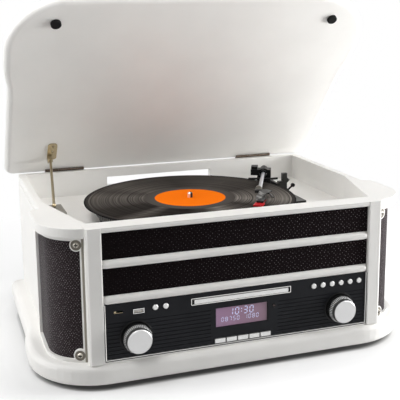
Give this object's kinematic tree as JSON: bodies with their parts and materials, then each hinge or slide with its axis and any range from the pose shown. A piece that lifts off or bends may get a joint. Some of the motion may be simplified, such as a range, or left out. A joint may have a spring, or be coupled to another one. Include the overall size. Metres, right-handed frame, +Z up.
{
  "type": "stereo music centre",
  "caption": "White cabinet stereo with a record player under a stayed lid, a disc drawer, a grooved control panel with knobs and keys, and curved cloth-covered side speakers.",
  "frame": {"origin": "on the table, under the middle of the object's bounding box with the lid open", "axes": "+X to the listener's right, +Y to the back, +Z up"},
  "size_m": [0.524, 0.3799, 0.4745],
  "materials": {
    "white_lacquer": "satin white lacquer on board",
    "grille_cloth": "dark speckled cloth",
    "black_plastic": "satin black",
    "panel_black": "fine grooves, satin",
    "silver_trim": "satin silver",
    "silver_plastic": "silver paint",
    "rubber": "matte",
    "steel": "zinc plated",
    "brass": "yellow plated",
    "chrome": "polished",
    "platter_metal": "turned",
    "vinyl": "fine grooves",
    "red_plastic": "gloss",
    "circuit_board": "board with parts",
    "iron": "laminated core",
    "pressed_steel": "plain pressed steel",
    "speaker_paper": "paper cone"
  },
  "bodies": {
    "cabinet": {"plinth": "white_lacquer", "feet": "rubber", "side_wall_left": "white_lacquer", "side_wall_right": "white_lacquer", "back_wall": "white_lacquer", "rim_board": "white_lacquer", "deck_board": "white_lacquer", "front_frame": "white_lacquer", "cross_bars": "white_lacquer", "front_cloth_strips": "grille_cloth", "grille_frame_left": "white_lacquer", "grille_frame_right": "white_lacquer", "grille_cloth_left": "grille_cloth", "grille_cloth_right": "grille_cloth", "grille_screws": "steel", "speaker_left": "speaker_paper", "speaker_right": "speaker_paper", "control_panel": "panel_black", "panel_trim": "silver_trim", "display_board": "circuit_board", "usb_socket": "chrome", "cd_mechanism": "pressed_steel", "amplifier_board": "circuit_board", "transformer": "iron", "rear_connector_panel": "black_plastic", "turntable_chassis": "black_plastic", "drive_motor": "pressed_steel", "drive_belt": "rubber", "tonearm_base": "black_plastic", "hinge_base_leaves": "steel", "stay_lower_bracket": "steel"},
    "lid": {"lid": "white_lacquer", "lid_bumpers": "rubber", "hinge_lid_leaves": "steel", "stay_upper_bracket": "brass"},
    "stay": {"stay_rod": "brass"},
    "platter": {"platter": "platter_metal", "vinyl_record": "vinyl"},
    "pulley": {"motor_pulley": "brass"},
    "arm_yaw": {"tonearm_gimbal": "black_plastic"},
    "arm_lift": {"tonearm": "silver_plastic", "cartridge": "red_plastic", "counterweight": "black_plastic"},
    "cue": {"cue_lever": "black_plastic"},
    "tray": {"cd_tray": "silver_plastic"},
    "volume": {"volume_knob": "silver_plastic"},
    "tuning": {"tuning_knob": "silver_plastic"},
    "standby_btn": {"standby_button": "silver_plastic"},
    "source_btn": {"source_button": "silver_plastic"},
    "transport_btn_1": {"transport_button_1": "silver_plastic"},
    "transport_btn_2": {"transport_button_2": "silver_plastic"},
    "transport_btn_3": {"transport_button_3": "silver_plastic"},
    "transport_btn_4": {"transport_button_4": "silver_plastic"},
    "transport_btn_5": {"transport_button_5": "silver_plastic"},
    "transport_btn_6": {"transport_button_6": "silver_plastic"},
    "menu_btn_1": {"menu_key_1": "silver_plastic"},
    "menu_btn_2": {"menu_key_2": "silver_plastic"},
    "menu_btn_3": {"menu_key_3": "silver_plastic"},
    "menu_btn_4": {"menu_key_4": "silver_plastic"},
    "menu_btn_5": {"menu_key_5": "silver_plastic"}
  },
  "joints": [
    {"name": "lid_hinge", "type": "hinge", "parent": "cabinet", "child": "lid", "pos_m": [0, 0.17255, 0.20535], "axis": [1, 0, 0], "range_deg": [0, 49.5]},
    {"name": "stay_pivot", "type": "hinge", "parent": "lid", "child": "stay", "pos_m": [-0.1888, 0.14861, 0.22567], "axis": [1, 0, 0], "range_deg": [-60, 0]},
    {"name": "platter_spin", "type": "hinge", "parent": "cabinet", "child": "platter", "pos_m": [-0.0155, -0.01045, 0.187], "axis": [0, 0, 1], "continuous": true},
    {"name": "pulley_spin", "type": "hinge", "parent": "cabinet", "child": "pulley", "pos_m": [-0.09777, 0.03705, 0.177], "axis": [0, 0, 1], "continuous": true},
    {"name": "arm_swing", "type": "hinge", "parent": "cabinet", "child": "arm_yaw", "pos_m": [0.136, 0.07855, 0.189], "axis": [0, 0, 1], "range_deg": [-18, 30]},
    {"name": "arm_raise", "type": "hinge", "parent": "arm_yaw", "child": "arm_lift", "pos_m": [0.136, 0.07855, 0.196], "axis": [0.9018, -0.4321, 0], "range_deg": [-12, 0]},
    {"name": "cue_turn", "type": "hinge", "parent": "cabinet", "child": "cue", "pos_m": [0.148, 0.02455, 0.178], "axis": [1, 0, 0], "range_deg": [0, 55]},
    {"name": "tray_slide", "type": "slide", "parent": "cabinet", "child": "tray", "axis": [0, -1, 0], "range_m": [0, 0.13]},
    {"name": "volume_turn", "type": "hinge", "parent": "cabinet", "child": "volume", "pos_m": [-0.139, -0.17195, 0.061], "axis": [0, -1, 0], "range_deg": [-150, 150]},
    {"name": "tuning_turn", "type": "hinge", "parent": "cabinet", "child": "tuning", "pos_m": [0.139, -0.17195, 0.061], "axis": [0, -1, 0], "continuous": true},
    {"name": "standby_button_press", "type": "slide", "parent": "cabinet", "child": "standby_btn", "axis": [0, 1, 0], "range_m": [0, 0.001], "stiffness_N_per_m": 400},
    {"name": "source_button_press", "type": "slide", "parent": "cabinet", "child": "source_btn", "axis": [0, 1, 0], "range_m": [0, 0.001], "stiffness_N_per_m": 400},
    {"name": "transport_button_1_press", "type": "slide", "parent": "cabinet", "child": "transport_btn_1", "axis": [0, 1, 0], "range_m": [0, 0.001], "stiffness_N_per_m": 400},
    {"name": "transport_button_2_press", "type": "slide", "parent": "cabinet", "child": "transport_btn_2", "axis": [0, 1, 0], "range_m": [0, 0.001], "stiffness_N_per_m": 400},
    {"name": "transport_button_3_press", "type": "slide", "parent": "cabinet", "child": "transport_btn_3", "axis": [0, 1, 0], "range_m": [0, 0.001], "stiffness_N_per_m": 400},
    {"name": "transport_button_4_press", "type": "slide", "parent": "cabinet", "child": "transport_btn_4", "axis": [0, 1, 0], "range_m": [0, 0.001], "stiffness_N_per_m": 400},
    {"name": "transport_button_5_press", "type": "slide", "parent": "cabinet", "child": "transport_btn_5", "axis": [0, 1, 0], "range_m": [0, 0.001], "stiffness_N_per_m": 400},
    {"name": "transport_button_6_press", "type": "slide", "parent": "cabinet", "child": "transport_btn_6", "axis": [0, 1, 0], "range_m": [0, 0.001], "stiffness_N_per_m": 400},
    {"name": "menu_key_1_press", "type": "slide", "parent": "cabinet", "child": "menu_btn_1", "axis": [0, 1, 0], "range_m": [0, 0.001], "stiffness_N_per_m": 400},
    {"name": "menu_key_2_press", "type": "slide", "parent": "cabinet", "child": "menu_btn_2", "axis": [0, 1, 0], "range_m": [0, 0.001], "stiffness_N_per_m": 400},
    {"name": "menu_key_3_press", "type": "slide", "parent": "cabinet", "child": "menu_btn_3", "axis": [0, 1, 0], "range_m": [0, 0.001], "stiffness_N_per_m": 400},
    {"name": "menu_key_4_press", "type": "slide", "parent": "cabinet", "child": "menu_btn_4", "axis": [0, 1, 0], "range_m": [0, 0.001], "stiffness_N_per_m": 400},
    {"name": "menu_key_5_press", "type": "slide", "parent": "cabinet", "child": "menu_btn_5", "axis": [0, 1, 0], "range_m": [0, 0.001], "stiffness_N_per_m": 400}
  ],
  "couplings": [
    {"joint": "stay_pivot", "follows": "lid_hinge", "ratio": -1.169},
    {"joint": "pulley_spin", "follows": "platter_spin", "ratio": 10.833}
  ]
}
